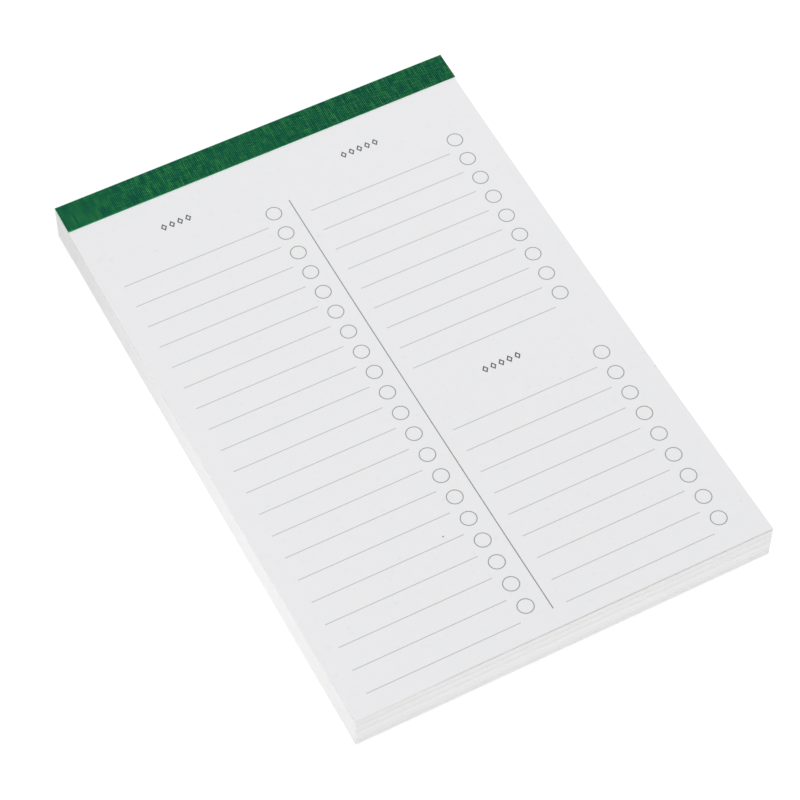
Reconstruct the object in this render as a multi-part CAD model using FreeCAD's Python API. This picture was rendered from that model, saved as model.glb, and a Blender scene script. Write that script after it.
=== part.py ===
import FreeCAD
import Part
import math
import os

# A padded writing block, bound in cloth along its head, with a two-column check list on each sheet.
# Millimetres. The sheets are wide along X. +Y points to the bound head and +Z up.
# The origin is under the middle of the pad, on the surface that it lies on.

# Sheets and board
SHEET_WIDTH = 152.6
SHEET_LENGTH = 229.1
BOARD_THICKNESS = 0.6

# Thickness of the stack of sheets: the head is pressed by the binding, the waist is the thinnest
# place, and the loose foot fans up a little.
STACK_AT_HEAD = 14.2
STACK_AT_WAIST = 12.95
STACK_AT_FOOT = 14.95
WAIST_FROM_HEAD = 91.8

# Binding: adhesive on the head edges, then a cloth strip folded over them. The strip's edge on
# the page was laid a little askew.
ADHESIVE_THICKNESS = 0.4
CLOTH_THICKNESS = 0.35
STRIP_ON_PAGE_LEFT = 11.85
STRIP_ON_PAGE_RIGHT = 11.55
STRIP_UNDERNEATH = 11.85
# The board drops from the strip's edge to the table over this length.
BOARD_DROP_LENGTH = 26.0

# Print: widths of the strokes and the thickness that every stroke is given
PRINT_THICKNESS = 0.05
RULE_WIDTH = 0.35
DIVIDER_WIDTH = 0.4
RING_WIDTH = 0.4
RING_DIAMETER = 5.9
RING_SIDES = 28

# Print: the grid, from the sheets' head edge down and from their left edge across. The page takes
# as many rows as fit above the least margin at the foot.
ROW_PITCH = 9.525
FIRST_RULE_FROM_HEAD = 40.93
LEAST_FOOT_MARGIN = 6.0
LEFT_MARGIN = 7.66
RIGHT_MARGIN = 10.49
RING_FROM_RULE = 1.45
DIVIDER_FROM_RING = 4.2
RULE_FROM_DIVIDER = 4.65

# Print: the right column holds two lists, with this many rows free between them.
FREE_ROWS = 2
HEADING_ABOVE_FIRST_RULE = 16.9

# Print: each heading is a row of lozenges.
LOZENGE_HEIGHT = 3.1
LOZENGE_WIDTH = 2.3
LOZENGE_GAP = 0.8
LEFT_HEADING_LOZENGES = 4
RIGHT_HEADING_LOZENGES = 5

# Points and lengths closer than this are the same.
SAME = 1e-6

# The adhesive's corners are rounded within its own thickness.
CORNER_SHARE = 0.5
adhesive_corner = CORNER_SHARE * ADHESIVE_THICKNESS

pad_length = SHEET_LENGTH + ADHESIVE_THICKNESS + CLOTH_THICKNESS
left_x = -SHEET_WIDTH / 2
right_x = left_x + SHEET_WIDTH
foot_y = -pad_length / 2
sheet_head_y = foot_y + SHEET_LENGTH
adhesive_y = sheet_head_y + ADHESIVE_THICKNESS
head_y = adhesive_y + CLOTH_THICKNESS
waist_y = sheet_head_y - WAIST_FROM_HEAD
strip_end_underneath_y = head_y - STRIP_UNDERNEATH
board_down_y = strip_end_underneath_y - BOARD_DROP_LENGTH

# Height of the page: at the head the board rides on the folded cloth, elsewhere on the table.
page_z_head = CLOTH_THICKNESS + BOARD_THICKNESS + STACK_AT_HEAD
page_z_waist = BOARD_THICKNESS + STACK_AT_WAIST
page_z_foot = BOARD_THICKNESS + STACK_AT_FOOT
above_everything = 2 * max(page_z_head, page_z_foot)

# A column is a rule with its ring. The two rules share the width that the rest of the page leaves.
ring_room = RING_FROM_RULE + RING_DIAMETER
divider_room = DIVIDER_FROM_RING + DIVIDER_WIDTH + RULE_FROM_DIVIDER
rule_length = (SHEET_WIDTH - LEFT_MARGIN - RIGHT_MARGIN - divider_room) / 2 - ring_room
left_column = LEFT_MARGIN
divider_left = left_column + rule_length + ring_room + DIVIDER_FROM_RING
right_column = divider_left + DIVIDER_WIDTH + RULE_FROM_DIVIDER

row_count = 1 + int((SHEET_LENGTH - FIRST_RULE_FROM_HEAD - LEAST_FOOT_MARGIN) / ROW_PITCH)
list_rows = (row_count - FREE_ROWS) // 2
lower_list = row_count - list_rows


def page_bend(y):
    """How fast the page's slope grows: it is one parabola from waist to head, one to the foot."""
    if y > waist_y:
        return 2 * (page_z_head - page_z_waist) / (sheet_head_y - waist_y) ** 2
    return 2 * (page_z_foot - page_z_waist) / (foot_y - waist_y) ** 2


def page_slope(y):
    """The page's slope at a place along the pad."""
    return page_bend(y) * (y - waist_y)


def page_z(y):
    """The page's height at a place along the pad."""
    return page_z_waist + page_bend(y) * (y - waist_y) ** 2 / 2


def point(y, z):
    """A point of the side view, at the pad's left face."""
    return FreeCAD.Vector(left_x, y, z)


def straight(start, end):
    """A straight edge between two points."""
    return Part.LineSegment(start, end).toShape()


def bend(start, control, end):
    """A parabolic edge that leaves and arrives along the lines to its control point."""
    curve = Part.BezierCurve()
    curve.setPoles([start, control, end])
    return curve.toShape()


def page_edges(lift, head_end_y):
    """The page's line in the side view, foot to head, raised by lift and run on to head_end_y."""
    foot = point(foot_y, page_z_foot + lift)
    foot_control = point((foot_y + waist_y) / 2, page_z_waist + lift)
    waist = point(waist_y, page_z_waist + lift)
    head_control = point((waist_y + sheet_head_y) / 2, page_z_waist + lift)
    head = point(sheet_head_y, page_z_head + lift)
    edges = [bend(foot, foot_control, waist), bend(waist, head_control, head)]
    if head_end_y > sheet_head_y:
        rise = page_slope(sheet_head_y) * (head_end_y - sheet_head_y)
        edges.append(straight(head, point(head_end_y, page_z_head + lift + rise)))
    return edges


def underside_points(lift):
    """The board's underside, head to foot, raised by lift."""
    return [
        point(sheet_head_y, CLOTH_THICKNESS + lift),
        point(strip_end_underneath_y, CLOTH_THICKNESS + lift),
        point(board_down_y, lift),
        point(foot_y, lift),
    ]


def across(edges):
    """The prism that a closed side view makes across the pad's width."""
    side = Part.Face(Part.Wire(edges))
    return side.extrude(FreeCAD.Vector(SHEET_WIDTH, 0, 0))


def closed_by_points(edges, points):
    """Side view edges continued through points and back to their start."""
    corners = [edges[-1].lastVertex().Point] + points + [edges[0].firstVertex().Point]
    lines = []
    for start, end in zip(corners, corners[1:]):
        if not start.isEqual(end, SAME):
            lines.append(straight(start, end))
    return edges + lines


def sheet_block():
    """All the sheets as one solid, between the board and the page's line."""
    edges = page_edges(0, sheet_head_y)
    return across(closed_by_points(edges, underside_points(BOARD_THICKNESS)))


def backing_board():
    """The board under the sheets."""
    top = underside_points(BOARD_THICKNESS)
    bottom = underside_points(0)
    corners = top + bottom[::-1]
    edges = [straight(a, b) for a, b in zip(corners, corners[1:] + corners[:1])]
    return across(edges)


def head_core(growth):
    """The bound body's outline, grown by growth, with its two head edges rounded."""
    end_y = adhesive_y + growth
    bottom_z = CLOTH_THICKNESS - growth
    edges = page_edges(growth, end_y)
    body = across(closed_by_points(edges, [point(end_y, bottom_z), point(foot_y, bottom_z)]))
    head_edges = []
    for edge in body.Edges:
        middle = edge.CenterOfMass
        along_x = abs(edge.Length - SHEET_WIDTH) < SAME
        if along_x and abs(middle.y - end_y) < SAME:
            head_edges.append(edge)
    return body.makeFillet(adhesive_corner + growth, head_edges)


def plan_prism(corners):
    """A tall prism over a polygon in plan, from below the pad to above it."""
    loop = [FreeCAD.Vector(x, y, -above_everything) for x, y in corners]
    plan = Part.Face(Part.makePolygon(loop + loop[:1]))
    return plan.extrude(FreeCAD.Vector(0, 0, 2 * above_everything))


def padding_glue():
    """The adhesive over the head edges of the sheets and the board."""
    end = [(left_x, sheet_head_y), (right_x, sheet_head_y), (right_x, head_y), (left_x, head_y)]
    return head_core(0).common(plan_prism(end)).Solids[0]


def binding_strip():
    """The cloth folded over the head, from the page to the underside."""
    on_page = plan_prism([
        (left_x, head_y - STRIP_ON_PAGE_LEFT),
        (right_x, head_y - STRIP_ON_PAGE_RIGHT),
        (right_x, head_y),
        (left_x, head_y),
    ])
    underneath = plan_prism([
        (left_x, strip_end_underneath_y),
        (right_x, strip_end_underneath_y),
        (right_x, head_y),
        (left_x, head_y),
    ])
    middle_z = (page_z_head + CLOTH_THICKNESS) / 2
    lower_half = Part.makeBox(
        SHEET_WIDTH, pad_length, above_everything,
        FreeCAD.Vector(left_x, foot_y, middle_z - above_everything))
    upper_half = lower_half.translated(FreeCAD.Vector(0, 0, above_everything))
    keep = on_page.common(upper_half).fuse(underneath.common(lower_half))
    cloth = head_core(CLOTH_THICKNESS).cut(head_core(0)).common(keep)
    return cloth.removeSplitter().Solids[0]


def print_film():
    """A film on the page, as thick as the print, that the strokes are cut from."""
    lower = page_edges(0, sheet_head_y)
    upper = page_edges(PRINT_THICKNESS, sheet_head_y)
    ends = [
        straight(lower[0].firstVertex().Point, upper[0].firstVertex().Point),
        straight(lower[-1].lastVertex().Point, upper[-1].lastVertex().Point),
    ]
    return across(Part.sortEdges(lower + upper + ends)[0])


def page_y(distance):
    """The place of a distance down the page."""
    return sheet_head_y - distance


def page_x(distance):
    """The place of a distance across the page."""
    return left_x + distance


def rule_distance(row):
    """How far down the page a row's rule lies."""
    return FIRST_RULE_FROM_HEAD + row * ROW_PITCH


def column_rows():
    """Each column's left edge with the rows that it holds."""
    all_rows = list(range(row_count))
    both_lists = all_rows[:list_rows] + all_rows[lower_list:]
    return [(left_column, all_rows), (right_column, both_lists)]


def stroke(x, y, width, length):
    """A tall box over a stroke, from its left and lower corner."""
    corner = FreeCAD.Vector(x, y, 0)
    return Part.makeBox(width, length, above_everything, corner)


def cut_from_film(cutters):
    """The separate strokes that tall shapes cut from the film."""
    strokes = print_film().common(Part.makeCompound(cutters))
    return Part.makeCompound(strokes.Solids)


def ruled_lines():
    """The rules to write on."""
    cutters = []
    for column_left, rows in column_rows():
        for row in rows:
            y = page_y(rule_distance(row)) - RULE_WIDTH / 2
            cutters.append(stroke(page_x(column_left), y, rule_length, RULE_WIDTH))
    return cut_from_film(cutters)


def rim(radius):
    """The flat face inside a ring's rim, about the origin."""
    corners = []
    for index in range(RING_SIDES):
        angle = 2 * math.pi * index / RING_SIDES
        corners.append(FreeCAD.Vector(radius * math.cos(angle), radius * math.sin(angle), 0))
    return Part.Face(Part.makePolygon(corners + corners[:1]))


def ring(x, y):
    """A flat ring tilted with the page, so that its upper and lower ends touch the page."""
    radius = RING_DIAMETER / 2
    flat = rim(radius).cut(rim(radius - RING_WIDTH))
    solid = flat.extrude(FreeCAD.Vector(0, 0, PRINT_THICKNESS))
    tilt = math.degrees(math.atan(page_slope(y)))
    end_rise = page_bend(y) * radius ** 2 / 2
    solid.rotate(FreeCAD.Vector(0, 0, 0), FreeCAD.Vector(1, 0, 0), tilt)
    solid.translate(FreeCAD.Vector(x, y, page_z(y) + end_rise))
    return solid


def check_circles():
    """The ring to tick at the end of each rule, midway between it and the rule above."""
    rings = []
    for column_left, rows in column_rows():
        x = page_x(column_left + rule_length + RING_FROM_RULE + RING_DIAMETER / 2)
        for row in rows:
            rings.append(ring(x, page_y(rule_distance(row) - ROW_PITCH / 2)))
    return Part.makeCompound(rings)


def column_divider():
    """The line between the columns, from the top of the first ring to the last rule.

    It is one solid joined from short lengths, because it bends with the page.
    """
    first_ring = rule_distance(0) - ROW_PITCH / 2
    start_y = page_y(first_ring - RING_DIAMETER / 2)
    end_y = page_y(rule_distance(row_count - 1)) - RULE_WIDTH / 2
    length = (start_y - end_y) / row_count
    film = print_film()
    lengths = []
    for step in range(row_count):
        cutter = stroke(page_x(divider_left), end_y + step * length, DIVIDER_WIDTH, length)
        lengths.append(film.common(cutter).Solids[0])
    return lengths[0].fuse(lengths[1:]).Solids[0]


def lozenge(x, y):
    """A tall prism over one lozenge about its centre."""
    half_width = LOZENGE_WIDTH / 2
    half_height = LOZENGE_HEIGHT / 2
    return plan_prism([
        (x - half_width, y),
        (x, y - half_height),
        (x + half_width, y),
        (x, y + half_height),
    ])


def heading_marks():
    """A centred row of lozenges over each list."""
    headings = [
        (left_column, 0, LEFT_HEADING_LOZENGES),
        (right_column, 0, RIGHT_HEADING_LOZENGES),
        (right_column, lower_list, RIGHT_HEADING_LOZENGES),
    ]
    cutters = []
    for column_left, row, count in headings:
        middle_x = page_x(column_left + rule_length / 2)
        y = page_y(rule_distance(row) - HEADING_ABOVE_FIRST_RULE)
        for index in range(count):
            steps = index - (count - 1) / 2
            cutters.append(lozenge(middle_x + steps * (LOZENGE_WIDTH + LOZENGE_GAP), y))
    return cut_from_film(cutters)


PIECES = {
    "binding_strip": binding_strip,
    "padding_glue": padding_glue,
    "sheet_block": sheet_block,
    "backing_board": backing_board,
    "ruled_lines": ruled_lines,
    "check_circles": check_circles,
    "column_divider": column_divider,
    "heading_marks": heading_marks,
}


def build():
    """Make every piece and write it to parts."""
    os.makedirs("parts", exist_ok=True)
    for name, make in PIECES.items():
        shape = make()
        print(name, "solids:", len(shape.Solids), "valid:", shape.isValid(), "volume:", shape.Volume)
        shape.exportStep("parts/" + name + ".step")


build()
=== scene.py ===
"""Looks of a padded writing block, bound in green cloth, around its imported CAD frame.

Metres. +X runs to the right across the page, +Y up the page to the bound head, +Z up.
The origin is under the middle of the pad, on the surface that it lies on.
"""

import logging
import math
import random
from dataclasses import dataclass
from enum import Enum

import bmesh
import bpy
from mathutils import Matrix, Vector, noise


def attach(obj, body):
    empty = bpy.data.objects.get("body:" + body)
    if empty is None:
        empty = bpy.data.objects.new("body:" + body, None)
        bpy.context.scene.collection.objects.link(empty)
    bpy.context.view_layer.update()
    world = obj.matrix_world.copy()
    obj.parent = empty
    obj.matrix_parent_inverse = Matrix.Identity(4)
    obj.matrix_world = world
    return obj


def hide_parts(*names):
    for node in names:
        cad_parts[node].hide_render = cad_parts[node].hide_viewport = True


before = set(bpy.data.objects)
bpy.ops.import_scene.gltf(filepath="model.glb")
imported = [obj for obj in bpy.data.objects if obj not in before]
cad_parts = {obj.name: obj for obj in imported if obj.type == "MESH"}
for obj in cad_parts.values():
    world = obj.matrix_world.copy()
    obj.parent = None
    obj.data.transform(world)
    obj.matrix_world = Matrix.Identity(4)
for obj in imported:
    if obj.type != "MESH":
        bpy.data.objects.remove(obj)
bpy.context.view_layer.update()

LOG = logging.getLogger("writing_block")
BODY = "root"
MM = 0.001
Triple = tuple[float, float, float]
Colour = Triple
Place = tuple[float, float]

SHEET_WIDTH = 152.6 * MM
SHEET_LENGTH = 229.1 * MM
HEAD_Y = 114.925 * MM
FOOT_Y = -HEAD_Y
SHEET_HEAD_Y = FOOT_Y + SHEET_LENGTH
LEFT_X = -SHEET_WIDTH / 2
RIGHT_X = SHEET_WIDTH / 2
BOARD_THICKNESS = 0.6 * MM
CLOTH_THICKNESS = 0.35 * MM
TOUCH = 0.001 * MM


class Column(Enum):
    """The two printed columns, by the place of their left edge across the page."""

    LEFT = 7.66 * MM
    RIGHT = 79.51 * MM


class Layer(Enum):
    """The two layers of book cloth: the weave, and the paper that it is lined with."""

    WEAVE = "cloth_strip"
    LINING = "strip_lining"


@dataclass(frozen=True)
class PageProfile:
    """The side view of the pad: where the page and the board lie at each place along it."""

    waist_y: float = 22.375 * MM
    waist_z: float = 13.55 * MM
    head_z: float = 15.15 * MM
    foot_z: float = 15.55 * MM
    strip_end_y: float = 103.075 * MM
    board_down_y: float = 77.075 * MM
    rise_steps: int = 4
    rise_step: float = 6.5 * MM
    strip_step: float = 5.5 * MM

    def bend(self, y: float) -> float:
        """How fast the page's slope grows at a place.

        Args:
            y: Place along the pad.

        Returns:
            The second derivative of the page's height.
        """
        if y > self.waist_y:
            return 2 * (self.head_z - self.waist_z) / (SHEET_HEAD_Y - self.waist_y) ** 2
        return 2 * (self.foot_z - self.waist_z) / (FOOT_Y - self.waist_y) ** 2

    def page(self, y: float) -> float:
        """Height of the page.

        Args:
            y: Place along the pad.

        Returns:
            The height of the top sheet's upper face.
        """
        if y > SHEET_HEAD_Y:
            slope = self.bend(SHEET_HEAD_Y) * (SHEET_HEAD_Y - self.waist_y)
            return self.head_z + slope * (y - SHEET_HEAD_Y)
        return self.waist_z + self.bend(y) * (y - self.waist_y) ** 2 / 2

    def board_top(self, y: float) -> float:
        """Height of the board's upper face, which rises near the head on the folded cloth.

        Args:
            y: Place along the pad.

        Returns:
            The height of the face that the lowest sheet lies on.
        """
        share = (y - self.board_down_y) / (self.strip_end_y - self.board_down_y)
        return BOARD_THICKNESS + CLOTH_THICKNESS * min(1.0, max(0.0, share))

    def stations(self, steps: int) -> list[float]:
        """Places along the pad, foot to head, among them both ends of the board's rise.

        Args:
            steps: Steps from the foot to the start of the rise.

        Returns:
            The places, in rising order.
        """
        low = self.board_down_y - FOOT_Y
        places = [FOOT_Y + low * k / steps for k in range(steps)]
        places += [self.board_down_y + self.rise_step * k for k in range(self.rise_steps)]
        places += [self.strip_end_y, self.strip_end_y + self.strip_step, SHEET_HEAD_Y]
        return places


PROFILE = PageProfile()


class Shader:
    """A new material with its shader nodes, and short ways to add to them."""

    def __init__(self, name: str) -> None:
        """Starts a material with a Principled shader and the surface's own coordinates.

        Args:
            name: Name of the material.
        """
        self.material = bpy.data.materials.new(name)
        self.material.use_nodes = True
        self.tree = self.material.node_tree
        self.tree.nodes.clear()
        self.output = self.tree.nodes.new("ShaderNodeOutputMaterial")
        self.surface = self.tree.nodes.new("ShaderNodeBsdfPrincipled")
        self.join(self.surface.outputs["BSDF"], self.output.inputs["Surface"])
        self.coordinates = self.tree.nodes.new("ShaderNodeTexCoord")

    def join(self, source: bpy.types.NodeSocket, target: bpy.types.NodeSocket) -> None:
        """Links an output to an input."""
        self.tree.links.new(source, target)

    def feed(self, target: bpy.types.NodeSocket, value: object) -> None:
        """Gives an input a link, a number or a colour.

        Args:
            target: The input.
            value: An output to link from, or the value to set.
        """
        if isinstance(value, bpy.types.NodeSocket):
            self.join(value, target)
        elif isinstance(value, tuple) and len(value) == 3 and target.type == "RGBA":
            target.default_value = (*value, 1.0)
        else:
            target.default_value = value

    def place(self, scale: Triple, by: str = "Object") -> bpy.types.NodeSocket:
        """The surface's coordinates, scaled on each axis.

        Args:
            scale: Steps of the pattern per metre on each axis.
            by: Which of the surface's coordinates.

        Returns:
            The scaled coordinates.
        """
        node = self.tree.nodes.new("ShaderNodeMapping")
        self.join(self.coordinates.outputs[by], node.inputs["Vector"])
        node.inputs["Scale"].default_value = scale
        return node.outputs["Vector"]

    def even(self, rate: float) -> bpy.types.NodeSocket:
        """The surface's Object coordinates, scaled alike on every axis."""
        return self.place((rate, rate, rate))

    def noise(
        self, vector: bpy.types.NodeSocket, detail: float, roughness: float = 0.55
    ) -> bpy.types.NodeSocket:
        """Soft noise.

        Args:
            vector: Where the noise is read.
            detail: How many octaves.
            roughness: How strong the fine octaves are.

        Returns:
            The noise, about 0 to 1.
        """
        node = self.tree.nodes.new("ShaderNodeTexNoise")
        self.join(vector, node.inputs["Vector"])
        node.inputs["Scale"].default_value = 1.0
        node.inputs["Detail"].default_value = detail
        node.inputs["Roughness"].default_value = roughness
        return node.outputs["Fac"]

    def math(self, kind: str, first: object, second: object = 0.0) -> bpy.types.NodeSocket:
        """One sum.

        Args:
            kind: Blender's name of the operation.
            first: The first number or output.
            second: The second number or output.

        Returns:
            The result.
        """
        node = self.tree.nodes.new("ShaderNodeMath")
        node.operation = kind
        self.feed(node.inputs[0], first)
        self.feed(node.inputs[1], second)
        return node.outputs[0]

    def weighted(self, *terms: tuple[bpy.types.NodeSocket, float]) -> bpy.types.NodeSocket:
        """Adds up outputs, each times its weight.

        Args:
            terms: The outputs with their weights.

        Returns:
            The sum.
        """
        total, *others = [self.math("MULTIPLY", value, weight) for value, weight in terms]
        for term in others:
            total = self.math("ADD", total, term)
        return total

    def span(
        self,
        value: bpy.types.NodeSocket,
        old: Place,
        new: Place = (0.0, 1.0),
        smooth: bool = False,
    ) -> bpy.types.NodeSocket:
        """Takes a number from one range to another, held at its ends.

        Args:
            value: The number.
            old: The range that it comes from.
            new: The range that it goes to.
            smooth: Whether it eases in and out.

        Returns:
            The number in the new range.
        """
        node = self.tree.nodes.new("ShaderNodeMapRange")
        node.interpolation_type = "SMOOTHSTEP" if smooth else "LINEAR"
        self.join(value, node.inputs["Value"])
        node.inputs["From Min"].default_value = old[0]
        node.inputs["From Max"].default_value = old[1]
        node.inputs["To Min"].default_value = new[0]
        node.inputs["To Max"].default_value = new[1]
        return node.outputs["Result"]

    def blend(self, share: object, first: object, second: object) -> bpy.types.NodeSocket:
        """Blends two colours.

        Args:
            share: How much of the second colour.
            first: The first colour or output.
            second: The second colour or output.

        Returns:
            The blended colour.
        """
        node = self.tree.nodes.new("ShaderNodeMix")
        node.data_type = "RGBA"
        self.feed(node.inputs["Factor"], share)
        self.feed(node.inputs[6], first)
        self.feed(node.inputs[7], second)
        return node.outputs[2]

    def parts(self, vector: bpy.types.NodeSocket) -> list[bpy.types.NodeSocket]:
        """The three numbers of a vector."""
        node = self.tree.nodes.new("ShaderNodeSeparateXYZ")
        self.join(vector, node.inputs["Vector"])
        return list(node.outputs)

    def near(self, vector: bpy.types.NodeSocket, centre: Vector) -> bpy.types.NodeSocket:
        """How far each point of the surface is from a centre.

        Args:
            vector: The surface's coordinates.
            centre: The centre.

        Returns:
            The distance.
        """
        node = self.tree.nodes.new("ShaderNodeVectorMath")
        node.operation = "DISTANCE"
        self.join(vector, node.inputs[0])
        node.inputs[1].default_value = centre
        return node.outputs["Value"]

    def coat(self, colour: object, roughness: object, specular: float) -> None:
        """Sets how the surface takes the light.

        Args:
            colour: Its colour.
            roughness: How matt it is.
            specular: How strong its gloss is.
        """
        self.feed(self.surface.inputs["Base Color"], colour)
        self.feed(self.surface.inputs["Roughness"], roughness)
        self.feed(self.surface.inputs["Specular IOR Level"], specular)

    def relief(self, height: bpy.types.NodeSocket, depth: float, strength: float) -> None:
        """Bumps the surface.

        Args:
            height: The height of the relief, 0 to 1.
            depth: What a height of 1 stands for, in metres.
            strength: Share of the relief that is kept.
        """
        node = self.tree.nodes.new("ShaderNodeBump")
        node.inputs["Strength"].default_value = strength
        node.inputs["Distance"].default_value = depth
        self.join(height, node.inputs["Height"])
        self.join(node.outputs["Normal"], self.surface.inputs["Normal"])


@dataclass(frozen=True)
class Fleck:
    """A soft mark in the page.

    Its place is counted from the sheets' left and head edges, in millimetres like its radius.
    """

    across: float
    down: float
    radius: float
    tint: Colour
    strength: float

    def centre(self) -> Vector:
        """The mark's centre on the page."""
        y = SHEET_HEAD_Y - self.down * MM
        return Vector((LEFT_X + self.across * MM, y, PROFILE.page(y)))


GREY_FLECK = (0.55, 0.56, 0.57)
BROWN_FLECK = (0.27, 0.19, 0.13)
ORANGE_FLECK = (0.85, 0.52, 0.28)
PAGE_FLECKS = (
    Fleck(39.1, 81.8, 0.9, GREY_FLECK, 0.10),
    Fleck(34.7, 110.6, 0.9, GREY_FLECK, 0.10),
    Fleck(56.9, 74.1, 0.8, GREY_FLECK, 0.10),
    Fleck(30.9, 89.5, 0.8, GREY_FLECK, 0.08),
    Fleck(26.9, 96.5, 0.8, GREY_FLECK, 0.08),
    Fleck(40.8, 90.7, 0.8, GREY_FLECK, 0.07),
    Fleck(10.2, 16.4, 0.8, GREY_FLECK, 0.09),
    Fleck(7.2, 25.5, 0.9, GREY_FLECK, 0.10),
    Fleck(54.4, 24.8, 0.8, GREY_FLECK, 0.08),
    Fleck(149.0, 214.7, 0.8, GREY_FLECK, 0.09),
    Fleck(56.6, 181.4, 0.45, BROWN_FLECK, 0.9),
    Fleck(152.1, 154.5, 0.5, ORANGE_FLECK, 0.5),
)


@dataclass(frozen=True)
class PaperFinish:
    """Smooth uncoated writing paper: a faint cloudy formation, fibres and a few flecks.

    In every finish, a rate is a pattern's steps per metre.
    """

    name: str = "page_paper"
    light: Colour = (0.857, 0.858, 0.870)
    shade: Colour = (0.845, 0.846, 0.858)
    flecks: tuple[Fleck, ...] = ()
    cloud_rate: float = 260.0
    fibre_rate: Triple = (2600.0, 5200.0, 2600.0)
    dust_rate: float = 520.0
    dust_span: Place = (0.68, 0.76)
    dust_share: float = 0.10
    fleck_core: float = 0.25
    tooth: float = 0.006 * MM

    def make(self) -> bpy.types.Material:
        """The material."""
        pen = Shader(self.name)
        cloud = pen.noise(pen.even(self.cloud_rate), detail=4.0)
        fibre = pen.noise(pen.place(self.fibre_rate), detail=2.0, roughness=0.6)
        tone = pen.weighted((cloud, 0.7), (fibre, 0.3))
        colour = pen.blend(pen.span(tone, (0.3, 0.7)), self.light, self.shade)
        dust = pen.noise(pen.even(self.dust_rate), detail=1.0)
        dust = pen.span(dust, self.dust_span, (0.0, self.dust_share), smooth=True)
        colour = pen.blend(dust, colour, GREY_FLECK)
        place = pen.coordinates.outputs["Object"]
        for fleck in self.flecks:
            far = pen.near(place, fleck.centre())
            edge = (self.fleck_core * fleck.radius * MM, fleck.radius * MM)
            share = pen.span(far, edge, (fleck.strength, 0.0), smooth=True)
            colour = pen.blend(share, colour, fleck.tint)
        pen.coat(colour, pen.span(cloud, (0.2, 0.8), (0.86, 0.94)), specular=0.25)
        pen.relief(fibre, self.tooth, strength=0.6)
        return pen.material


@dataclass(frozen=True)
class CutEdgeFinish:
    """The cut edges of many sheets: fine level streaks, one or two sheets thick."""

    name: str = "cut_edges"
    light: Colour = (0.826, 0.826, 0.825)
    shade: Colour = (0.800, 0.800, 0.798)
    sheet_rate: Triple = (14.0, 14.0, 5200.0)
    lift_rate: Triple = (6.0, 6.0, 900.0)
    fluff_rate: float = 3800.0
    tooth: float = 0.02 * MM

    def make(self) -> bpy.types.Material:
        """The material."""
        pen = Shader(self.name)
        sheets = pen.noise(pen.place(self.sheet_rate), detail=3.0, roughness=0.7)
        lifts = pen.noise(pen.place(self.lift_rate), detail=2.0, roughness=0.5)
        fluff = pen.noise(pen.even(self.fluff_rate), detail=2.0)
        tone = pen.weighted((sheets, 0.45), (lifts, 0.35), (fluff, 0.2))
        colour = pen.blend(pen.span(tone, (0.34, 0.66)), self.light, self.shade)
        pen.coat(colour, pen.span(fluff, (0.2, 0.8), (0.88, 0.98)), specular=0.2)
        pen.relief(tone, self.tooth, strength=0.5)
        return pen.material


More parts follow.
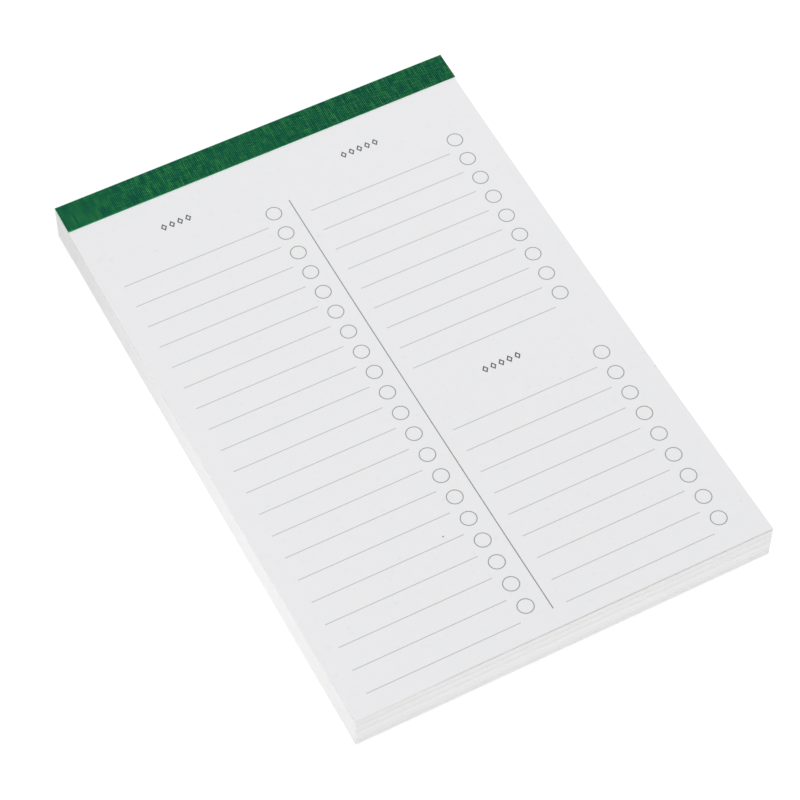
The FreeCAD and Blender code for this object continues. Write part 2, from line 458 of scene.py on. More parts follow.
@dataclass(frozen=True)
class BookClothFinish:
    """Plain-woven book cloth: threads both ways, uneven in thickness and in shade."""

    name: str = "green_cloth"
    warp_pitch: float = 0.637 * MM
    weft_pitch: float = 0.43 * MM
    # Dark green of the painted shade in the hollows between the threads.
    painted_shade_green: Colour = (0.001, 0.020, 0.012)
    deep: Colour = (0.001, 0.135, 0.086)
    middle: Colour = (0.007, 0.222, 0.088)
    bright: Colour = (0.058, 0.400, 0.098)
    # Lighter green of a painted highlight near the cloth's edge on the page and along the crest of
    # the head fold, with how far each reaches.
    highlight_green: Colour = (0.030, 0.300, 0.130)
    edge_highlight_span: Place = (0.15 * MM, 0.40 * MM)
    fold_highlight_width: float = 0.45 * MM
    fold_at: float = 11.75 * MM
    # How much darker the cloth is painted from its left end to its right end.
    darker_to_right: Place = (0.0, 0.06)
    sway_rate: float = 220.0
    sway: float = 0.02 * MM
    slub_down_rate: Place = (2080.0, 150.0)
    slub_across_rate: Place = (190.0, 1500.0)
    blotch_rate: Place = (560.0, 600.0)
    dim_span: Place = (0.53, 0.62)
    bright_span: Place = (0.62, 0.73)
    crossing: float = 0.4
    tone_span: Place = (-0.05, 1.15)
    thread_height: float = 0.02 * MM

    def patch(
        self, pen: Shader, rate: Place, detail: float, roughness: float
    ) -> bpy.types.NodeSocket:
        """Soft noise on the cloth, laid flat.

        Args:
            pen: The material's shader.
            rate: Steps of the noise per metre, across and along.
            detail: How many octaves.
            roughness: How strong the fine octaves are.

        Returns:
            The noise, about 0 to 1.
        """
        return pen.noise(pen.place((*rate, 1.0), by="UV"), detail, roughness)

    def make(self) -> bpy.types.Material:
        """The material."""
        pen = Shader(self.name)
        sway = self.patch(pen, (self.sway_rate, self.sway_rate), 2.0, 0.55)
        sway = pen.span(sway, (0.2, 0.8), (-self.sway, self.sway))
        sideways, along, _ = pen.parts(pen.place((1.0, 1.0, 1.0), by="UV"))
        across = pen.math("ADD", sideways, sway)
        along = pen.math("SUBTRACT", along, sway)
        warp = pen.math("SINE", pen.math("MULTIPLY", across, math.pi / self.warp_pitch))
        weft = pen.math("SINE", pen.math("MULTIPLY", along, math.pi / self.weft_pitch))
        over = pen.math("MULTIPLY", warp, weft)
        rib = pen.math("MULTIPLY", warp, warp)
        slubs_down = self.patch(pen, self.slub_down_rate, 3.0, 0.6)
        slubs_across = self.patch(pen, self.slub_across_rate, 3.0, 0.6)
        blotch = self.patch(pen, self.blotch_rate, 4.0, 0.7)
        shade = pen.weighted((slubs_down, 0.64), (blotch, 0.20), (slubs_across, 0.40))
        dim = pen.blend(pen.span(shade, self.dim_span), self.deep, self.middle)
        colour = pen.blend(pen.span(shade, self.bright_span), dim, self.bright)
        tone = pen.weighted((over, self.crossing), (rib, 1.0))
        # Painted shade: the hollows between the threads are darkened toward the dark green.
        painted_hollow_shade = pen.span(tone, self.tone_span, (1.0, 0.0))
        # The cloth is painted a little darker from left to right.
        darker_to_right = pen.span(sideways, (LEFT_X, RIGHT_X), self.darker_to_right)
        # Blends toward the dark green: painted shade in the hollows, and darker towards the right.
        colour = pen.blend(pen.math("ADD", painted_hollow_shade, darker_to_right), colour, self.painted_shade_green)
        # Painted highlight: a lighter green near the cloth's edge on the page and along the crest
        # of the fold over the head.
        edge_highlight = pen.span(along, self.edge_highlight_span, (1.0, 0.0), smooth=True)
        from_fold = pen.math("ABSOLUTE", pen.math("SUBTRACT", along, self.fold_at))
        fold_highlight = pen.span(from_fold, (0.0, self.fold_highlight_width), (0.8, 0.0), smooth=True)
        colour = pen.blend(pen.math("MAXIMUM", edge_highlight, fold_highlight), colour, self.highlight_green)
        pen.coat(colour, pen.span(tone, (-0.2, 1.3), (0.92, 0.72)), specular=0.10)
        pen.relief(pen.weighted((tone, 0.6), (shade, 0.3)), self.thread_height, strength=0.6)
        return pen.material


@dataclass(frozen=True)
class FibreFinish:
    """A fibrous matt material, such as greyboard or lining paper."""

    name: str
    light: Colour
    shade: Colour
    fleck: Colour
    fleck_share: float = 0.5
    cloud_rate: float = 180.0
    grain: float = 1500.0
    stretch: float = 0.3
    tooth: float = 0.02 * MM

    def make(self) -> bpy.types.Material:
        """The material."""
        pen = Shader(self.name)
        cloud = pen.noise(pen.even(self.cloud_rate), detail=3.0)
        strands = (self.grain * self.stretch, self.grain, self.grain)
        fibre = pen.noise(pen.place(strands), detail=3.0)
        specks = pen.noise(pen.even(self.grain), detail=1.0)
        tone = pen.weighted((cloud, 0.5), (fibre, 0.5))
        colour = pen.blend(pen.span(tone, (0.35, 0.65)), self.light, self.shade)
        share = pen.span(specks, (0.66, 0.72), (0.0, self.fleck_share), smooth=True)
        colour = pen.blend(share, colour, self.fleck)
        pen.coat(colour, pen.span(fibre, (0.2, 0.8), (0.82, 0.95)), specular=0.25)
        pen.relief(fibre, self.tooth, strength=0.7)
        return pen.material


@dataclass(frozen=True)
class AdhesiveFinish:
    """Dried padding adhesive: cloudy, with brush ridges and a dull skin."""

    name: str = "dried_adhesive"
    clear: Colour = (0.80, 0.80, 0.76)
    cloudy: Colour = (0.72, 0.72, 0.66)
    ridge_rate: Triple = (60.0, 900.0, 900.0)
    cloud_rate: float = 700.0
    ridge_height: float = 0.05 * MM

    def make(self) -> bpy.types.Material:
        """The material."""
        pen = Shader(self.name)
        ridges = pen.noise(pen.place(self.ridge_rate), detail=3.0)
        cloud = pen.noise(pen.even(self.cloud_rate), detail=3.0)
        colour = pen.blend(pen.span(cloud, (0.3, 0.7)), self.clear, self.cloudy)
        pen.coat(colour, pen.span(ridges, (0.2, 0.8), (0.38, 0.6)), specular=0.5)
        pen.relief(ridges, self.ridge_height, strength=0.6)
        return pen.material


@dataclass(frozen=True)
class InkFinish:
    """Flat printing ink on paper, a little uneven where the fibres take less of it."""

    name: str
    full: Colour
    thin: Colour
    body_rate: float = 900.0
    fibre_rate: Triple = (5200.0, 7000.0, 5200.0)
    tooth: float = 0.004 * MM

    def make(self) -> bpy.types.Material:
        """The material."""
        pen = Shader(self.name)
        body = pen.noise(pen.even(self.body_rate), detail=3.0)
        fibre = pen.noise(pen.place(self.fibre_rate), detail=2.0)
        tone = pen.weighted((body, 0.5), (fibre, 0.5))
        colour = pen.blend(pen.span(tone, (0.35, 0.65)), self.full, self.thin)
        pen.coat(colour, pen.span(fibre, (0.2, 0.8), (0.7, 0.9)), specular=0.25)
        pen.relief(fibre, self.tooth, strength=0.5)
        return pen.material


@dataclass(frozen=True)
class TableFinish:
    """A plain white table top that the studio light just burns out."""

    name: str = "white_table"
    light: Colour = (0.36, 0.36, 0.36)
    shade: Colour = (0.34, 0.34, 0.34)
    glow: float = 0.73
    cloud_rate: float = 9.0

    def make(self) -> bpy.types.Material:
        """The material."""
        pen = Shader(self.name)
        cloud = pen.noise(pen.even(self.cloud_rate), detail=2.0)
        colour = pen.blend(cloud, self.light, self.shade)
        pen.coat(colour, pen.span(cloud, (0.2, 0.8), (0.9, 1.0)), specular=0.0)
        pen.surface.inputs["Emission Color"].default_value = (1.0, 1.0, 1.0, 1.0)
        pen.surface.inputs["Emission Strength"].default_value = self.glow
        return pen.material


def finished(
    bm: bmesh.types.BMesh, name: str, material: bpy.types.Material, smooth_under: float = 0.0
) -> bpy.types.Object:
    """Turns a bmesh into a piece of the pad that rides on its body.

    Args:
        bm: The piece's mesh, which is freed.
        name: The piece's name.
        material: The piece's material.
        smooth_under: Faces that meet under this angle, in degrees, are shaded as one.

    Returns:
        The piece, in the scene.
    """
    bmesh.ops.recalc_face_normals(bm, faces=bm.faces)
    mesh = bpy.data.meshes.new(name)
    bm.to_mesh(mesh)
    bm.free()
    mesh.materials.append(material)
    if smooth_under > 0:
        mesh.shade_smooth()
        mesh.set_sharp_from_angle(angle=math.radians(smooth_under))
    piece = bpy.data.objects.new(name, mesh)
    bpy.context.scene.collection.objects.link(piece)
    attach(piece, BODY)
    LOG.info("%s: %d faces", name, len(mesh.polygons))
    return piece


def slab(
    bm: bmesh.types.BMesh, steps: tuple[int, int], low: Place, high: Place
) -> list[bmesh.types.BMVert]:
    """Adds a closed flat slab with a grid on both faces; its upper face has height 1.

    Args:
        bm: The mesh to add to.
        steps: Steps of the grid across and along.
        low: The slab's left and foot edges.
        high: The slab's right and head edges.

    Returns:
        The slab's vertices.
    """
    made = bmesh.ops.create_grid(bm, x_segments=steps[0], y_segments=steps[1], size=0.5)
    base = made["verts"]
    bmesh.ops.translate(bm, vec=(0.5, 0.5, 0.0), verts=base)
    bmesh.ops.scale(bm, vec=(high[0] - low[0], high[1] - low[1], 1.0), verts=base)
    bmesh.ops.translate(bm, vec=(low[0], low[1], 0.0), verts=base)
    return raised(bm, base)


def raised(bm: bmesh.types.BMesh, base: list[bmesh.types.BMVert]) -> list[bmesh.types.BMVert]:
    """Raises a flat patch to a closed slab one high.

    Args:
        bm: The mesh that holds the patch.
        base: The patch's vertices.

    Returns:
        The slab's vertices.
    """
    faces = list(dict.fromkeys(face for vert in base for face in vert.link_faces))
    grown = bmesh.ops.extrude_face_region(bm, geom=faces, use_keep_orig=True)
    upper = [item for item in grown["geom"] if isinstance(item, bmesh.types.BMVert)]
    bmesh.ops.translate(bm, vec=(0.0, 0.0, 1.0), verts=upper)
    return base + upper


@dataclass
class SheetStack:
    """The loose sheets, held at the head: thin closed slabs that fan up a little at the foot.

    short_by is in millimetres, from the left edge to the right.
    """

    sheet_count: int = 160
    paper_thickness: float = 0.0805 * MM
    steps_across: int = 6
    steps_along: int = 20
    page_steps: tuple[int, int] = (16, 72)
    edge_scatter: float = 0.006 * MM
    foot_scatter: float = 0.012 * MM
    lift_at_left: float = 0.02 * MM
    lift_at_right: float = 0.10 * MM
    lift_length: float = 34.0 * MM
    short_sheets: int = 6
    short_by: tuple[float, ...] = (0.05, 0.14, 0.36, 0.62, 0.65, 0.50, 0.25)
    step_sheet: int = 86
    step_depth: float = 0.06 * MM
    head_spread: float = 0.15
    foot_spread: float = 0.9
    wide_gap_chance: float = 0.05
    wide_gap_weight: float = 5.0
    drift_kept: float = 0.85
    edge_margin: float = 1.5
    smooth_under: float = 20.0
    seed: int = 11

    def lift(self, x: float, y: float) -> float:
        """Gap under the top sheet, which curls up at its foot and more to the right.

        Args:
            x: Place across the pad.
            y: Place along the pad.

        Returns:
            The gap's height.
        """
        share = (x - LEFT_X) / SHEET_WIDTH
        rise = max(0.0, 1.0 - (y - FOOT_Y) / self.lift_length)
        most = self.lift_at_left + (self.lift_at_right - self.lift_at_left) * share
        return most * rise * rise * (3.0 - 2.0 * rise)

    def recess(self, index: int, share: float) -> float:
        """How far a sheet stops short of the foot.

        Args:
            index: The sheet, counted from the board.
            share: Place across the sheet, 0 to 1.

        Returns:
            The distance; only the few sheets right under the top one, and one step, have any.
        """
        if index == self.step_sheet:
            return self.step_depth
        if index < self.sheet_count - 1 - self.short_sheets:
            return 0.0
        return self.short_by[round(share * (len(self.short_by) - 1))] * MM

    def gap_shares(self, spread: float) -> list[float]:
        """Seeded shares of the stack's slack that lie under each sheet.

        Args:
            spread: 0 for even gaps, 1 for very uneven ones.

        Returns:
            The share of all gaps that lies below each sheet, 0 to 1.
        """
        dice = random.Random(self.seed)
        weights = []
        for index in range(self.sheet_count):
            weight = 1.0 - spread + spread * dice.expovariate(1.0)
            if dice.random() < self.wide_gap_chance:
                weight += self.wide_gap_weight * spread
            weights.append(weight)
        total = sum(weights)
        shares = []
        below = 0.0
        for weight in weights:
            shares.append(below / total)
            below += weight
        return shares

    def bent(self, index: int, x: float, y: float, even: list[float], loose: list[float]) -> float:
        """Height of a sheet's underside.

        Args:
            index: The sheet, counted from the board.
            x: Place across the pad.
            y: Place along the pad.
            even: Shares of the gaps near the head.
            loose: Shares of the gaps at the foot.

        Returns:
            The height.
        """
        floor_z = PROFILE.board_top(y)
        room = PROFILE.page(y) - floor_z
        slack = max(0.0, room - self.sheet_count * self.paper_thickness - self.lift(x, y))
        toward_foot = min(1.0, max(0.0, (PROFILE.waist_y - y) / (PROFILE.waist_y - FOOT_Y)))
        share = even[index] + (loose[index] - even[index]) * toward_foot
        return floor_z + index * self.paper_thickness + slack * share

    def build_stack(self) -> bpy.types.Object:
        """Every sheet but the top one, as one piece."""
        bm = bmesh.new()
        dice = random.Random(self.seed + 1)
        places = PROFILE.stations(self.steps_along)
        last = len(places) - 1
        even = self.gap_shares(self.head_spread)
        loose = self.gap_shares(self.foot_spread)
        margin = self.edge_margin * self.edge_scatter
        drift = 0.0
        for index in range(self.sheet_count - 1):
            verts = slab(bm, (self.steps_across, last), (0.0, 0.0), (1.0, 1.0))
            drift = self.drift_kept * drift + dice.gauss(0.0, self.edge_scatter)
            left = max(0.0, drift + dice.gauss(0.0, self.edge_scatter) + margin)
            right = max(0.0, dice.gauss(0.0, self.edge_scatter) - drift + margin)
            foot = abs(dice.gauss(0.0, self.foot_scatter))
            for vert in verts:
                upper = vert.co.z > 0.5
                y = places[round(vert.co.y * last)]
                x = LEFT_X + left + (SHEET_WIDTH - left - right) * vert.co.x
                z = self.bent(index, x, y, even, loose)
                if upper:
                    z += self.paper_thickness
                if y == FOOT_Y:
                    y += foot + self.recess(index, vert.co.x)
                vert.co = (x, y, z)
        piece = finished(bm, "sheet_stack", CutEdgeFinish().make())
        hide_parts("sheet_block")
        return piece

    def build_page(self, finish: PaperFinish) -> bpy.types.Object:
        """The top sheet, which the print lies on.

        Args:
            finish: The paper's finish.

        Returns:
            The piece.
        """
        bm = bmesh.new()
        for vert in slab(bm, self.page_steps, (LEFT_X, FOOT_Y), (RIGHT_X, SHEET_HEAD_Y)):
            upper = vert.co.z > 0.5
            page = PROFILE.page(vert.co.y)
            vert.co.z = page if upper else page - self.paper_thickness
        piece = finished(bm, "top_sheet", finish.make(), self.smooth_under)
        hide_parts("sheet_block")
        return piece


@dataclass
class BindingStrip:
    """Book cloth folded over the head, from the page to the underside, with its paper lining."""

    weave_thickness: float = 0.21 * MM
    layer_gap: float = 0.004 * MM
    lip_on_page: float = 0.32 * MM
    lip_at_left: float = 0.08 * MM
    past_right: float = 0.28 * MM
    edge_left_y: float = 103.075 * MM
    edge_right_y: float = 103.375 * MM
    under_y: float = 103.075 * MM
    fold_radius: float = 0.37 * MM
    fold_steps: int = 8
    steps_across: int = 120
    steps_on_page: int = 10
    ravel: float = 0.03 * MM
    waver: float = 0.006 * MM
    flat_length: float = 38.7 * MM
    head_shares: tuple[float, ...] = (0.8, 0.6, 0.4, 0.2)
    under_start: float = 1.0 * MM
    under_middle: float = 5.0 * MM
    page_reach: float = 1.0 * MM
    ravel_size: float = 1.3 * MM
    ravel_row: float = 3.0
    waver_size: float = 7.0 * MM
    smooth_under: float = 40.0
    lining: FibreFinish = FibreFinish(
        "lining_paper", (0.96, 0.94, 0.95), (0.935, 0.92, 0.93), (0.86, 0.87, 0.86)
    )

    def side_view(self, inset: float) -> list[Place]:
        """The layer's outer line at the pad's left end, before its folds are rounded.

        Args:
            inset: How far the layer lies under the cloth's outer face.

        Returns:
            Points along the line, as places along the pad with their heights.
        """
        line = []
        lift = CLOTH_THICKNESS - inset
        for step in range(self.steps_on_page + 1):
            y = self.under_y + (SHEET_HEAD_Y - self.under_y) * step / self.steps_on_page
            line.append((y, PROFILE.page(y) + lift))
        end_y = HEAD_Y - inset
        line.append((end_y, PROFILE.page(end_y) + lift))
        for share in self.head_shares:
            line.append((end_y, inset + (PROFILE.head_z - inset) * share))
        line.append((end_y, inset))
        line.append((SHEET_HEAD_Y - self.under_start, inset))
        line.append((self.under_y + self.under_middle, inset))
        line.append((self.under_y, inset))
        return line

    def along_cloth(self, point: Vector, inset: float) -> float:
        """Where a point lies along the cloth, laid flat.

        Args:
            point: The point.
            inset: How far the layer lies under the cloth's outer face.

        Returns:
            The distance from the line of the strip's edge on the page.
        """
        radius = self.fold_radius - inset
        fold_y = HEAD_Y - self.fold_radius
        top_z = PROFILE.page(HEAD_Y) + CLOTH_THICKNESS - self.fold_radius
        on_page = fold_y - self.under_y
        quarter = self.fold_radius * math.pi / 2
        down = top_z - self.fold_radius
        if point.y <= fold_y and point.z > top_z - radius:
            return point.y - self.under_y
        if point.z >= top_z:
            turn = math.atan2(point.y - fold_y, point.z - top_z)
            return on_page + self.fold_radius * turn
        if point.y > fold_y and point.z >= self.fold_radius:
            return on_page + quarter + top_z - point.z
        if point.y > fold_y:
            turn = math.atan2(self.fold_radius - point.z, point.y - fold_y)
            return on_page + quarter + down + self.fold_radius * turn
        return on_page + 2 * quarter + down + fold_y - point.y

    def build_layer(
        self, layer: Layer, inset: float, thickness: float, material: bpy.types.Material
    ) -> bpy.types.Object:
        """One layer of the strip.

        Args:
            layer: Which layer.
            inset: How far the layer's outer face lies under the cloth's.
            thickness: The layer's thickness.
            material: The layer's material.

        Returns:
            The piece.
        """
        bm = bmesh.new()
        trim = self.lip_at_left if layer is Layer.WEAVE else 0.0
        width = SHEET_WIDTH - trim + self.past_right
        line = [bm.verts.new((LEFT_X + trim, y, z)) for y, z in self.side_view(inset)]
        edges = [bm.edges.new(pair) for pair in zip(line, line[1:])]
        grown = bmesh.ops.extrude_edge_only(bm, edges=edges)
        far = [item for item in grown["geom"] if isinstance(item, bmesh.types.BMVert)]
        bmesh.ops.translate(bm, vec=(width, 0.0, 0.0), verts=far)
        end_y = HEAD_Y - inset
        folds = [edge for edge in bm.edges if self.is_fold(edge, end_y, inset)]
        bmesh.ops.bevel(
            bm,
            geom=folds,
            offset=self.fold_radius - inset,
            offset_type="OFFSET",
            affect="EDGES",
            segments=self.fold_steps,
            profile=0.5,
            material=-1,
            clamp_overlap=True,
        )
        long_edges = [edge for edge in bm.edges if abs(edge.calc_length() - width) < MM]
        bmesh.ops.subdivide_edges(
            bm, edges=long_edges, cuts=self.steps_across - 1, use_grid_fill=True
        )
        self.face_out(bm)
        self.settle(bm, inset, self.lip_on_page if layer is Layer.LINING else 0.0)
        flat = bm.loops.layers.uv.new("flat_cloth")
        for face in bm.faces:
            for loop in face.loops:
                point = loop.vert.co
                loop[flat].uv = (point.x, self.along_cloth(point, inset))
        bmesh.ops.solidify(bm, geom=bm.faces[:], thickness=thickness)
        piece = finished(bm, layer.value, material, self.smooth_under)
        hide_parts("binding_strip")
        return piece

    def is_fold(self, edge: bmesh.types.BMEdge, end_y: float, low_z: float) -> bool:
        """Whether an edge is one of the two folds.

        Args:
            edge: The edge.
            end_y: Where the layer's outer face stands past the head.
            low_z: The layer's lowest height.

        Returns:
            True for the fold over the page and for the one at the table.
        """
        first, second = (vert.co for vert in edge.verts)
        if abs(first.x - second.x) < MM:
            return False
        if abs(first.y - end_y) > TOUCH:
            return False
        return first.z > PROFILE.head_z or abs(first.z - low_z) < TOUCH

    def face_out(self, bm: bmesh.types.BMesh) -> None:
        """Turns the open layer so that its faces point away from the pad."""
        bmesh.ops.recalc_face_normals(bm, faces=bm.faces)
        bm.faces.ensure_lookup_table()
        top = max(bm.faces, key=lambda face: face.calc_center_median().z)
        if top.normal.z < 0:
            bmesh.ops.reverse_faces(bm, faces=bm.faces)

    def settle(self, bm: bmesh.types.BMesh, inset: float, lip: float) -> None:
        """Lays the edge on the page askew and uneven, and lets the cloth waver a little.

        Args:
            bm: The layer's mesh.
            inset: How far the layer lies under the cloth's outer face.
            lip: How far the layer shows past the weave on the page.
        """
        reach = SHEET_HEAD_Y - self.under_y
        for vert in bm.verts:
            x, y, z = vert.co
            spot = Vector((x, y, z)) / self.waver_size
            if z > PROFILE.head_z - self.page_reach and y < SHEET_HEAD_Y:
                share = (x - LEFT_X) / SHEET_WIDTH
                edge_y = self.edge_left_y + (self.edge_right_y - self.edge_left_y) * share
                frayed = noise.noise(Vector((x / self.ravel_size, self.ravel_row, 0.0)))
                edge_y += self.ravel * frayed - lip
                left_over = (SHEET_HEAD_Y - y) / reach
                vert.co.y = SHEET_HEAD_Y - (SHEET_HEAD_Y - edge_y) * left_over
                vert.co.z = PROFILE.page(vert.co.y) + CLOTH_THICKNESS - inset
                vert.co.z += self.waver * (noise.noise(spot) - 0.5)

    def build(self) -> bpy.types.Object:
        """The whole strip: the book cloth's weave and its paper lining."""
        weave = self.build_layer(Layer.WEAVE, 0.0, self.weave_thickness, BookClothFinish().make())
        start = self.weave_thickness + self.layer_gap
        left_over = CLOTH_THICKNESS - start - self.layer_gap
        lining = self.build_layer(Layer.LINING, start, left_over, self.lining.make())
        return weave


@dataclass
class PrintedPage:
    """The check list printed on the page: rules, rings, the divider and the heading marks."""

    ink_top: float = 0.012 * MM
    ink_foot: float = -0.004 * MM
    row_pitch: float = 9.525 * MM
    first_rule: float = 40.93 * MM
    row_count: int = 20
    list_rows: int = 9
    rule_length: float = 55.25 * MM
    rule_width: float = 0.30 * MM
    ring_diameter: float = 5.83 * MM
    ring_width: float = 0.33 * MM
    ring_gap: float = 1.485 * MM
    ring_sides: int = 56
    divider_left: float = 74.49 * MM
    divider_width: float = 0.34 * MM
    heading_rise: float = 16.9 * MM
    lozenge_height: float = 3.1 * MM
    lozenge_width: float = 2.3 * MM
    lozenge_gap: float = 0.8 * MM
    lozenge_stroke: float = 0.46 * MM
    lozenge_counts: tuple[int, int, int] = (4, 5, 5)
    lozenge_sides: int = 4
    rule_steps: int = 24
    divider_steps: int = 96
    rule_ink: InkFinish = InkFinish("rule_ink", (0.49, 0.49, 0.485), (0.57, 0.57, 0.565))
    ring_ink: InkFinish = InkFinish("ring_ink", (0.28, 0.285, 0.275), (0.35, 0.355, 0.345))
    divider_ink: InkFinish = InkFinish("divider_ink", (0.215, 0.22, 0.21), (0.285, 0.29, 0.28))
    heading_ink: InkFinish = InkFinish("heading_ink", (0.11, 0.11, 0.12), (0.16, 0.16, 0.17))

    def rows(self, column: Column) -> list[int]:
        """The rows that a column holds.

        Args:
            column: The column.

        Returns:
            The rows, counted from the head.
        """
        every = list(range(self.row_count))
        if column is Column.LEFT:
            return every
        return every[: self.list_rows] + every[-self.list_rows :]

    def rule_y(self, row: int) -> float:
        """The place of a row's rule along the pad."""
        return SHEET_HEAD_Y - self.first_rule - row * self.row_pitch

    def lay_on_page(self, verts: list[bmesh.types.BMVert]) -> None:
        """Bends flat strokes to the page, a hair above it and into it.

        Args:
            verts: The strokes' vertices, with height 1 for upper ones and 0 for lower ones.
        """
        for vert in verts:
            height = self.ink_top if vert.co.z > 0.5 else self.ink_foot
            vert.co.z = PROFILE.page(vert.co.y) + height

    def build_rules(self) -> bpy.types.Object:
        """The rules to write on."""
        bm = bmesh.new()
        half = self.rule_width / 2
        for column in Column:
            left = LEFT_X + column.value
            for row in self.rows(column):
                y = self.rule_y(row)
                low = (left, y - half)
                high = (left + self.rule_length, y + half)
                self.lay_on_page(slab(bm, (self.rule_steps, 1), low, high))
        piece = finished(bm, "printed_rules", self.rule_ink.make())
        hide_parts("ruled_lines")
        return piece

    def outline(
        self, bm: bmesh.types.BMesh, sides: int, outer: Place, inner: Place, centre: Place
    ) -> list[bmesh.types.BMVert]:
        """A closed stroke round a circle or a lozenge.

        Args:
            bm: The mesh to add to.
            sides: Sides of the form.
            outer: Half its width and half its height.
            inner: Half the width and half the height of the bare middle.
            centre: Its centre.

        Returns:
            Its vertices.
        """
        loops = []
        verts = []
        for half in (outer, inner):
            made = bmesh.ops.create_circle(bm, cap_ends=False, radius=1.0, segments=sides)
            bmesh.ops.scale(bm, vec=(half[0], half[1], 1.0), verts=made["verts"])
            bmesh.ops.translate(bm, vec=(centre[0], centre[1], 0.0), verts=made["verts"])
            loops += dict.fromkeys(edge for vert in made["verts"] for edge in vert.link_edges)
            verts += made["verts"]
        bmesh.ops.bridge_loops(bm, edges=loops)
        return raised(bm, verts)

    def build_rings(self) -> bpy.types.Object:
        """The ring to tick at the end of each rule."""
        bm = bmesh.new()
        radius = self.ring_diameter / 2
        bare = radius - self.ring_width
        for column in Column:
            x = LEFT_X + column.value + self.rule_length + self.ring_gap + radius
            for row in self.rows(column):
                centre = (x, self.rule_y(row) + self.row_pitch / 2)
                sizes = ((radius, radius), (bare, bare))
                self.lay_on_page(self.outline(bm, self.ring_sides, *sizes, centre))
        piece = finished(bm, "printed_rings", self.ring_ink.make())
        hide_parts("check_circles")
        return piece

    def build_divider(self) -> bpy.types.Object:
        """The line between the columns."""
        bm = bmesh.new()
        left = LEFT_X + self.divider_left
        low = (left, self.rule_y(self.row_count - 1) - self.rule_width / 2)
        head = self.rule_y(0) + self.row_pitch / 2 + self.ring_diameter / 2
        high = (left + self.divider_width, head)
        self.lay_on_page(slab(bm, (1, self.divider_steps), low, high))
        piece = finished(bm, "printed_divider", self.divider_ink.make())
        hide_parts("column_divider")
        return piece

    def build_headings(self) -> bpy.types.Object:
        """A row of plain lozenges over each list."""
        bm = bmesh.new()
        lower = self.row_count - self.list_rows
        starts = [(Column.LEFT, 0), (Column.RIGHT, 0), (Column.RIGHT, lower)]
        outer = (self.lozenge_width / 2, self.lozenge_height / 2)
        slant = math.hypot(*outer)
        bare = 1.0 - self.lozenge_stroke * slant / (outer[0] * outer[1])
        inner = (outer[0] * bare, outer[1] * bare)
        for (column, row), count in zip(starts, self.lozenge_counts):
            middle = LEFT_X + column.value + self.rule_length / 2
            y = self.rule_y(row) + self.heading_rise
            for index in range(count):
                steps = index - (count - 1) / 2
                x = middle + steps * (self.lozenge_width + self.lozenge_gap)
                marks = self.outline(bm, self.lozenge_sides, outer, inner, (x, y))
                self.lay_on_page(marks)
        piece = finished(bm, "printed_headings", self.heading_ink.make())
        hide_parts("heading_marks")
        return piece

    def build(self) -> None:
        """All of the print."""
        self.build_rules()
        self.build_rings()
        self.build_divider()
        self.build_headings()


@dataclass(frozen=True)
class KeptSolids:
    """The two CAD solids whose shape is right: they only get their real finish."""

    glue: str = "padding_glue"
    board: str = "backing_board"
    glue_finish: AdhesiveFinish = AdhesiveFinish()
    board_finish: FibreFinish = FibreFinish(
        "greyboard", (0.86, 0.86, 0.855), (0.81, 0.81, 0.805), (0.62, 0.61, 0.59)
    )

    def dress(self) -> None:
        """Gives both solids their materials."""
        finishes = {self.glue: self.glue_finish, self.board: self.board_finish}
        for node, finish in finishes.items():
            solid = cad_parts[node]
            solid.data.materials.clear()
            solid.data.materials.append(finish.make())
            LOG.info("%s: new finish %s", node, finish.name)


@dataclass(frozen=True)
class Panel:
    """A flat soft light: where it hangs, which way it faces, its sides in metres and its watts."""

    name: str
    place: Triple
    aim: Triple
    size: Place
    power: float


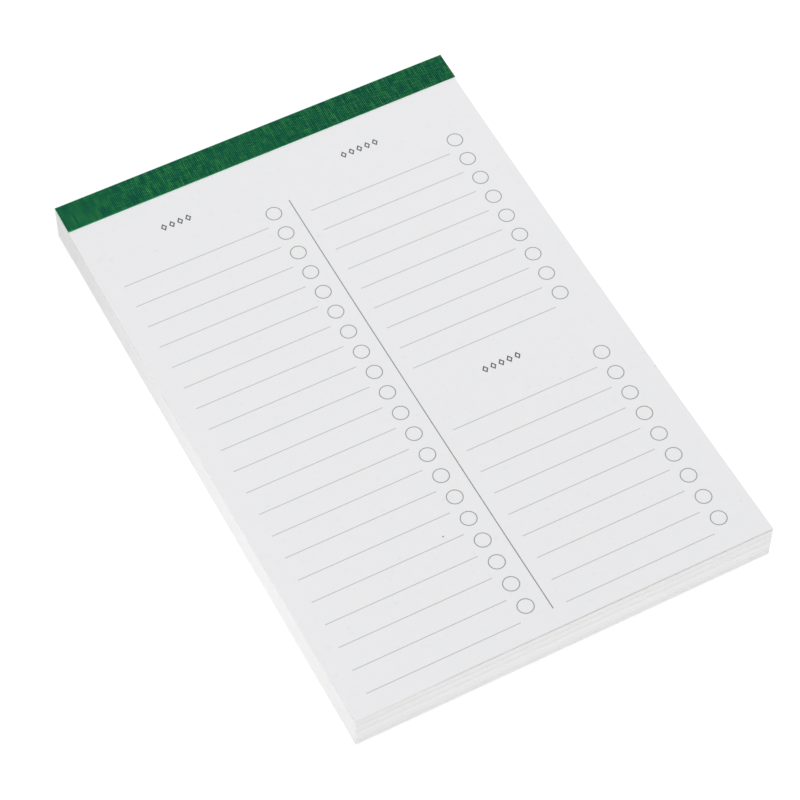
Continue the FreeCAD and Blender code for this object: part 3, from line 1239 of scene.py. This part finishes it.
@dataclass
class Studio:
    """The table, the lights and the camera."""

    panels: tuple[Panel, ...] = (
        Panel("overhead", (0.3, 0.4, 1.6), (-0.3, -0.4, -1.6), (1.4, 1.4), 9.3),
        Panel("behind_right", (0.9, 0.9, 0.9), (-0.9, -0.9, -0.9), (0.8, 0.8), 2.9),
        Panel("card_at_left", (-0.26, -0.075, 0.035), (1.0, 0.0, 0.0), (0.16, 0.05), 0.135),
        Panel("card_at_foot", (0.01, -0.36, 0.035), (0.0, 1.0, 0.0), (0.30, 0.05), 0.18),
    )
    table_size: float = 6.0
    table_drop: float = 0.02 * MM
    sky: float = 0.61
    camera_place: Triple = (-0.2763874, -0.5265223, 0.8477285)
    camera_turn: Triple = (34.8376, 0.0191, -27.7075)
    lens: float = 136.5922
    sensor: float = 36.0

    def build_table(self) -> None:
        """The table top, which isn't part of the pad."""
        bm = bmesh.new()
        bmesh.ops.create_grid(bm, x_segments=1, y_segments=1, size=self.table_size / 2)
        bmesh.ops.translate(bm, vec=(0.0, 0.0, -self.table_drop), verts=bm.verts)
        mesh = bpy.data.meshes.new("table")
        bm.to_mesh(mesh)
        bm.free()
        mesh.materials.append(TableFinish().make())
        table = bpy.data.objects.new("table", mesh)
        bpy.context.scene.collection.objects.link(table)

    def add_panel(self, panel: Panel) -> None:
        """A soft light, which the camera doesn't see.

        Args:
            panel: The light's place, aim, size and power.
        """
        light = bpy.data.lights.new(panel.name, "AREA")
        light.shape = "RECTANGLE"
        light.size, light.size_y = panel.size
        light.energy = panel.power
        lamp = bpy.data.objects.new(panel.name, light)
        lamp.location = panel.place
        lamp.visible_camera = False
        lamp.rotation_euler = Vector(panel.aim).to_track_quat("-Z", "Y").to_euler()
        bpy.context.scene.collection.objects.link(lamp)

    def build_lights(self) -> None:
        """A pale sky, two large softboxes overhead and two low reflector cards beside the pad."""
        world = bpy.data.worlds.new("studio")
        world.use_nodes = True
        back = world.node_tree.nodes["Background"]
        back.inputs["Color"].default_value = (1.0, 1.0, 1.0, 1.0)
        back.inputs["Strength"].default_value = self.sky
        bpy.context.scene.world = world
        for panel in self.panels:
            self.add_panel(panel)

    def build_camera(self) -> None:
        """The camera, at the photograph's place."""
        data = bpy.data.cameras.new("camera")
        data.sensor_width = self.sensor
        data.lens = self.lens
        camera = bpy.data.objects.new("camera", data)
        camera.location = self.camera_place
        camera.rotation_euler = tuple(math.radians(angle) for angle in self.camera_turn)
        bpy.context.scene.collection.objects.link(camera)
        bpy.context.scene.camera = camera

    def build(self) -> None:
        """The whole studio."""
        self.build_table()
        self.build_lights()
        self.build_camera()
        bpy.context.scene.view_settings.view_transform = "Standard"


def main() -> None:
    """Builds the pad's looks piece by piece."""
    logging.basicConfig(level=logging.INFO, format="%(name)s %(message)s")
    Studio().build()
    stack = SheetStack()
    stack.build_stack()
    stack.build_page(PaperFinish(flecks=PAGE_FLECKS))
    BindingStrip().build()
    PrintedPage().build()
    KeptSolids().dress()


if __name__ == "__main__":
    main()
